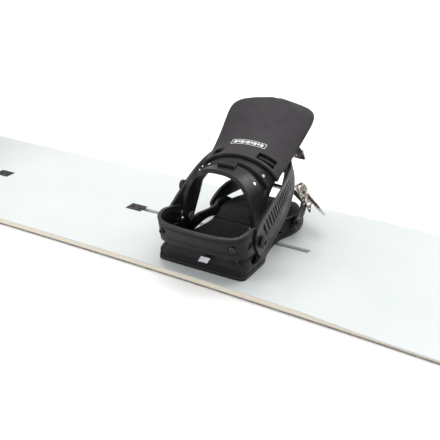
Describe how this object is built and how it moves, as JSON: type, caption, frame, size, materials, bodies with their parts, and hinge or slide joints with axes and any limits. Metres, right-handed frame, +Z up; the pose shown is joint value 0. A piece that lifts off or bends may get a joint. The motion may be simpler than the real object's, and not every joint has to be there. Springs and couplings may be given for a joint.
{
  "type": "snowboard with bindings",
  "caption": "Snowboard with slotted deck and strap bindings: folding highback, ratchet ankle and toe straps, heel hoop and sliding channel bolts.",
  "frame": {"origin": "underside of the running base, under the middle of the board", "axes": "+X along the board towards the front binding, +Y towards the toe edge, +Z up"},
  "size_m": [1.58, 0.283, 0.1722],
  "materials": {
    "deck": "satin",
    "sidewall": "satin",
    "base": "satin",
    "steel_edge": "satin",
    "rail": "satin",
    "moulded_black": "satin",
    "highback_panel": "matte",
    "footbed_foam": "matte",
    "strap_pad": "matte",
    "strap_plastic": "satin",
    "buckle_metal": "polished",
    "bolt_steel": "satin",
    "dark_bolt": "satin"
  },
  "bodies": {
    "board": {"core_and_sidewalls": "sidewall", "top_sheet": "deck", "base_sheet": "base", "steel_edge": "steel_edge", "front_channel_rail": "rail", "rear_channel_rail": "rail", "front_channel_plug": "moulded_black", "rear_channel_plug": "moulded_black"},
    "front_base": {"front_base_plate": "moulded_black", "front_heel_hoop": "moulded_black", "front_heel_footbed": "footbed_foam", "front_toe_footbed": "footbed_foam", "front_outer_channel_bolt": "bolt_steel", "front_inner_channel_bolt": "bolt_steel", "front_outer_channel_nut": "bolt_steel", "front_inner_channel_nut": "bolt_steel", "front_outer_ankle_bolt": "dark_bolt", "front_inner_ankle_bolt": "dark_bolt", "front_outer_toe_bolt": "dark_bolt", "front_inner_toe_bolt": "dark_bolt", "front_outer_highback_pin": "bolt_steel", "front_inner_highback_pin": "bolt_steel"},
    "front_highback": {"front_highback_frame": "moulded_black", "front_highback_panel": "highback_panel"},
    "front_lean_block": {"front_lean_adjuster": "moulded_black"},
    "front_ankle_strap": {"front_ankle_pad": "strap_pad", "front_ankle_arm": "strap_plastic", "front_ankle_ladder": "strap_plastic", "front_ankle_buckle": "buckle_metal"},
    "front_ankle_lever": {"front_ankle_lever": "buckle_metal"},
    "front_toe_strap": {"front_toe_cap": "strap_pad", "front_toe_ladder": "strap_plastic", "front_toe_buckle": "buckle_metal"},
    "front_toe_lever": {"front_toe_lever": "buckle_metal"},
    "rear_base": {"rear_base_plate": "moulded_black", "rear_heel_hoop": "moulded_black", "rear_heel_footbed": "footbed_foam", "rear_toe_footbed": "footbed_foam", "rear_outer_channel_bolt": "bolt_steel", "rear_inner_channel_bolt": "bolt_steel", "rear_outer_channel_nut": "bolt_steel", "rear_inner_channel_nut": "bolt_steel", "rear_outer_ankle_bolt": "dark_bolt", "rear_inner_ankle_bolt": "dark_bolt", "rear_outer_toe_bolt": "dark_bolt", "rear_inner_toe_bolt": "dark_bolt", "rear_outer_highback_pin": "bolt_steel", "rear_inner_highback_pin": "bolt_steel"},
    "rear_highback": {"rear_highback_frame": "moulded_black", "rear_highback_panel": "highback_panel"},
    "rear_lean_block": {"rear_lean_adjuster": "moulded_black"},
    "rear_ankle_strap": {"rear_ankle_pad": "strap_pad", "rear_ankle_arm": "strap_plastic", "rear_ankle_ladder": "strap_plastic", "rear_ankle_buckle": "buckle_metal"},
    "rear_ankle_lever": {"rear_ankle_lever": "buckle_metal"},
    "rear_toe_strap": {"rear_toe_cap": "strap_pad", "rear_toe_ladder": "strap_plastic", "rear_toe_buckle": "buckle_metal"},
    "rear_toe_lever": {"rear_toe_lever": "buckle_metal"}
  },
  "joints": [
    {"name": "front_stance_slide", "type": "slide", "parent": "board", "child": "front_base", "axis": [1, 0, 0], "range_m": [-0.06, 0.045]},
    {"name": "front_highback_fold", "type": "hinge", "parent": "front_base", "child": "front_highback", "pos_m": [0.305, -0.058, 0.0512], "axis": [1, 0, 0], "range_deg": [0, 60]},
    {"name": "front_ankle_strap_tilt", "type": "hinge", "parent": "front_base", "child": "front_ankle_strap", "pos_m": [0.305, -0.072, 0.0472], "axis": [1, 0, 0], "range_deg": [-4, 0]},
    {"name": "front_ankle_lever_lift", "type": "hinge", "parent": "front_ankle_strap", "child": "front_ankle_lever", "pos_m": [0.32907, 0.06089, 0.1208], "axis": [-0.0122, -0.5111, 0.8594], "range_deg": [0, 55], "stiffness_Nm_per_rad": 0.06, "springref_deg": -22.92},
    {"name": "front_toe_strap_tilt", "type": "hinge", "parent": "front_base", "child": "front_toe_strap", "pos_m": [0.305, 0.034, 0.0277], "axis": [1, 0, 0], "range_deg": [0, 14]},
    {"name": "front_toe_lever_lift", "type": "hinge", "parent": "front_toe_strap", "child": "front_toe_lever", "pos_m": [0.36178, 0.07953, 0.05387], "axis": [-0.2145, -0.5871, 0.7806], "range_deg": [0, 55], "stiffness_Nm_per_rad": 0.05, "springref_deg": -22.92},
    {"name": "front_lean_adjust", "type": "slide", "parent": "front_highback", "child": "front_lean_block", "axis": [0, 1, 0], "range_m": [0, 0.006]},
    {"name": "rear_stance_slide", "type": "slide", "parent": "board", "child": "rear_base", "axis": [-1, 0, 0], "range_m": [-0.06, 0.045]},
    {"name": "rear_highback_fold", "type": "hinge", "parent": "rear_base", "child": "rear_highback", "pos_m": [-0.305, -0.058, 0.0512], "axis": [1, 0, 0], "range_deg": [0, 60]},
    {"name": "rear_ankle_strap_tilt", "type": "hinge", "parent": "rear_base", "child": "rear_ankle_strap", "pos_m": [-0.305, -0.072, 0.0472], "axis": [1, 0, 0], "range_deg": [-4, 0]},
    {"name": "rear_ankle_lever_lift", "type": "hinge", "parent": "rear_ankle_strap", "child": "rear_ankle_lever", "pos_m": [-0.32907, 0.06089, 0.1208], "axis": [-0.0122, 0.5111, -0.8594], "range_deg": [0, 55], "stiffness_Nm_per_rad": 0.06, "springref_deg": -22.92},
    {"name": "rear_toe_strap_tilt", "type": "hinge", "parent": "rear_base", "child": "rear_toe_strap", "pos_m": [-0.305, 0.034, 0.0277], "axis": [1, 0, 0], "range_deg": [0, 14]},
    {"name": "rear_toe_lever_lift", "type": "hinge", "parent": "rear_toe_strap", "child": "rear_toe_lever", "pos_m": [-0.36178, 0.07953, 0.05387], "axis": [-0.2145, 0.5871, -0.7806], "range_deg": [0, 55], "stiffness_Nm_per_rad": 0.05, "springref_deg": -22.92},
    {"name": "rear_lean_adjust", "type": "slide", "parent": "rear_highback", "child": "rear_lean_block", "axis": [0, 1, 0], "range_m": [0, 0.006]}
  ]
}
